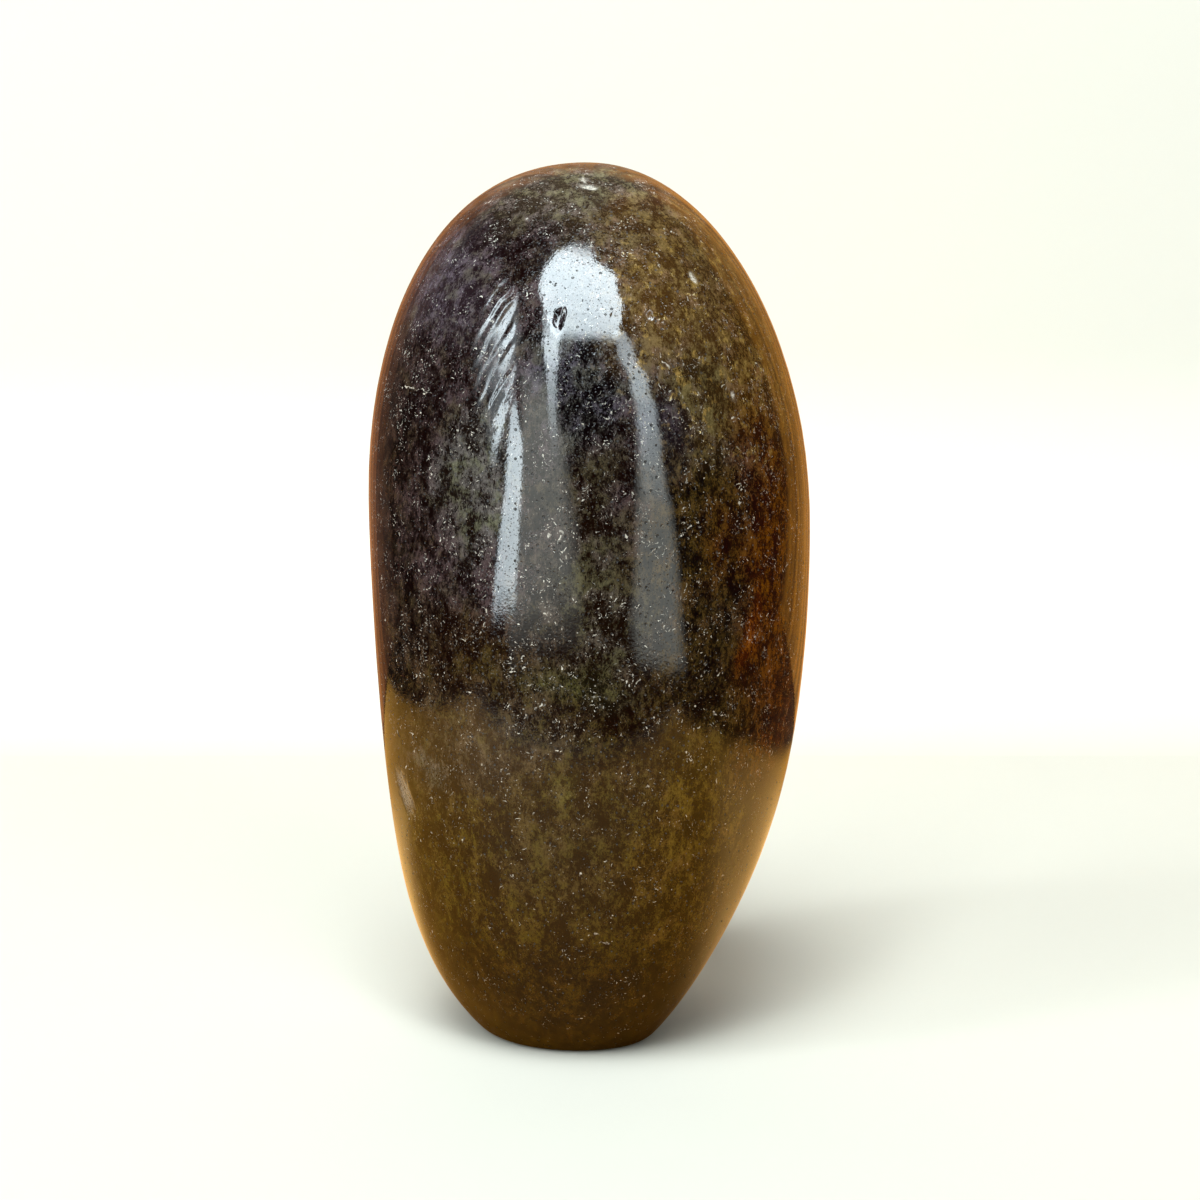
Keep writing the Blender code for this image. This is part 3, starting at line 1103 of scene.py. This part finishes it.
r = FLOOR_REACH
table_quads = [flat_quad(TABLE_LEFT, TABLE_FRONT, TABLE_RIGHT, TABLE_BACK)]
make_sheet("studio_table", table_quads, table_paper)
make_sheet("studio_wall", wall_quads(), wall_paper, smooth=True)
floor_quads = [
    flat_quad(-r, -r, r, TABLE_FRONT), flat_quad(-r, TABLE_FRONT, TABLE_LEFT, TABLE_BACK),
    flat_quad(TABLE_RIGHT, TABLE_FRONT, r, TABLE_BACK), flat_quad(-r, TABLE_BACK, r, WALL_FOOT)]
floor = make_sheet("studio_floor", floor_quads, table_paper)
floor.visible_glossy = False
floor.visible_diffuse = False
print("wall has", len(wall_quads()), "strips, and the floor", len(floor_quads), "parts")

# %% [markdown]
# ## Glowing cards
#
# A dark polished stone shows its lights more than its own colour, so the lights are shaped
# for their reflections. Each is a card of glowing cloth, two metres away, made as a strip of
# rows. A row gives the places of its two ends, as the stone sees them, and how strongly it
# glows. The glow fades to nothing at the sides, which gives soft edges. The cloth is clear
# where it does not glow, so cards that overlap add up, and the camera does not see the cards.

# %% Rows of the cards
CARD_DISTANCE = 2.0
CARD_AIM = Vector((0, -0.024, 0.06))
COOL = (0.81, 0.94, 1.0)
NEUTRAL = (0.94, 1.0, 0.93)
Card = namedtuple("Card", "name radiance colour fade rows")
CARDS = (  # each row: bearing and rise of its left end, bearing and rise of its right end, glow
    Card("brow", 19.0, COOL, 0.04, (
        (-45, 83, -20, 83, 0), (-52, 77, -4, 77, 0.9), (-48, 70.5, 19, 70.5, 1),
        (-43, 62, 18.5, 62, 1), (-33, 53, 19, 52, 0.95), (-28, 46, 18, 45, 0.75),
        (-25, 42.5, 16, 42.5, 0.35), (-24, 39.5, 15, 39.5, 0))),
    Card("left_leg", 16.5, COOL, 0.2, (
        (-33, 50, -17, 50, 0.4), (-32, 40, -19, 40, 1), (-28, 30, -20, 30, 0.56),
        (-26, 20, -20, 20, 0.26), (-25, 11, -20, 11, 0))),
    Card("right_leg", 10.5, COOL, 0.25, (
        (10, 47, 22, 47, 0.6), (14, 38, 27, 38, 0.76), (22, 28, 36, 28, 0.86),
        (26, 18, 44, 18, 0.54), (28, 8, 48, 8, 0.19), (28, 2, 52, 2, 0))),
    Card("right_veil", 2.3, NEUTRAL, 0.2, (
        (27, 20, 46, 20, 0), (25, 8, 50, 8, 0.9), (24, 0, 57, 0, 1),
        (18, -8, 60, -8, 0.9), (18, -10, 60, -10, 0))),
    Card("left_streak", 14.0, COOL, 0.12, (
        (-51, 21, -49, 21, 0), (-52.5, 18, -48, 18, 0.9), (-54, 11, -43, 11, 1),
        (-57, 2, -44, 2, 0.85), (-58, -3, -43, -3, 0.72), (-58, -5, -43, -5, 0))),
    Card("left_spark", 13.0, COOL, 0.2, (
        (-54, 28, -50, 28, 0.2), (-60, 18, -54, 18, 1), (-64, 11, -58, 11, 1),
        (-65, 7.5, -61, 7.5, 0))),
    Card("shoulder", 16.0, COOL, 0.3, (
        (-60, 56, -50, 56, 0), (-66, 46, -54, 46, 0.8), (-68, 34, -55, 34, 1),
        (-66, 24, -56, 24, 0.3))),
    Card("fan_veil", 3.2, COOL, 0.3, (
        (-60, 52, -46, 52, 0), (-72, 38, -44, 38, 0.9), (-74, 24, -46, 24, 1),
        (-70, 14, -54, 14, 0.5), (-68, 7, -58, 7, 0))),
    Card("left_veil", 2.4, NEUTRAL, 0.2, (
        (-46, 31, -24, 31, 0), (-47, 19, -17, 19, 1.1), (-52, 4, -10, 4, 1),
        (-54, -3, -6, -3, 0.85), (-54, -9, -4, -9, 0))),
)
print("cards have", sum(len(card.rows) for card in CARDS), "rows")


# %% Hang the cards
def card_shader(card):
    """Glow as noted on the card's mesh, on a cloth that is otherwise clear."""
    material = bpy.data.materials.new(card.name + "_cloth")
    material.use_nodes = True
    tree = material.node_tree
    tree.nodes.clear()
    light = add(tree, "ShaderNodeEmission", None, {
        "Color": note(tree, "glow")["Color"], "Strength": card.radiance})
    clear = add(tree, "ShaderNodeBsdfTransparent")
    both = add(tree, "ShaderNodeAddShader")
    fill(tree, both, {0: light.outputs[0], 1: clear.outputs[0]})
    add(tree, "ShaderNodeOutputMaterial", None, {"Surface": both.outputs[0]})
    return material


def hang_card(card):
    """Each row becomes four points: dark end, bright, bright, dark end."""
    strip = bmesh.new()
    layer = strip.verts.layers.float_color.new("glow")
    above = None
    for left_bearing, left_rise, right_bearing, right_rise, glow in card.rows:
        left, right = facing(left_bearing, left_rise), facing(right_bearing, right_rise)
        points = []
        for share, strength in ((0, 0), (card.fade, 1), (1 - card.fade, 1), (1, 0)):
            way = left.lerp(right, share).normalized()
            point = strip.verts.new(CARD_AIM + way * CARD_DISTANCE)
            point[layer] = (*(strength * glow * part for part in card.colour), 1)
            points.append(point)
        if above:
            for k in range(3):
                strip.faces.new((above[k], above[k + 1], points[k + 1], points[k]))
        above = points
    piece = stage_piece(card.name + "_card", strip, card_shader(card))
    piece.visible_camera = False


for card in CARDS:
    hang_card(card)
print("hung", len(CARDS), "cards")

# %% [markdown]
# ## The room
#
# The camera sees a pale room, but the stone feels only a faint warm glow from it. A bright room
# would mirror as a grey film over the whole polish and hide the rock.

# %% Room
ROOM_SEEN = (0.62, 0.58, 0.52, 1)
ROOM_FELT = (0.03, 0.026, 0.021, 1)


def make_room():
    """The room looks pale behind the table but sheds little light on the stone."""
    world = bpy.data.worlds.new("room")
    world.use_nodes = True
    bpy.context.scene.world = world
    tree = world.node_tree
    seen = add(tree, "ShaderNodeLightPath").outputs["Is Camera Ray"]
    colour = blend(tree, seen, ROOM_FELT, ROOM_SEEN)
    fill(tree, tree.nodes["Background"], {"Color": colour, "Strength": 1.0})


make_room()
bpy.context.scene.view_settings.view_transform = "Standard"
print("room glows at", round(ROOM_FELT[0] / ROOM_SEEN[0], 2), "of what is seen")
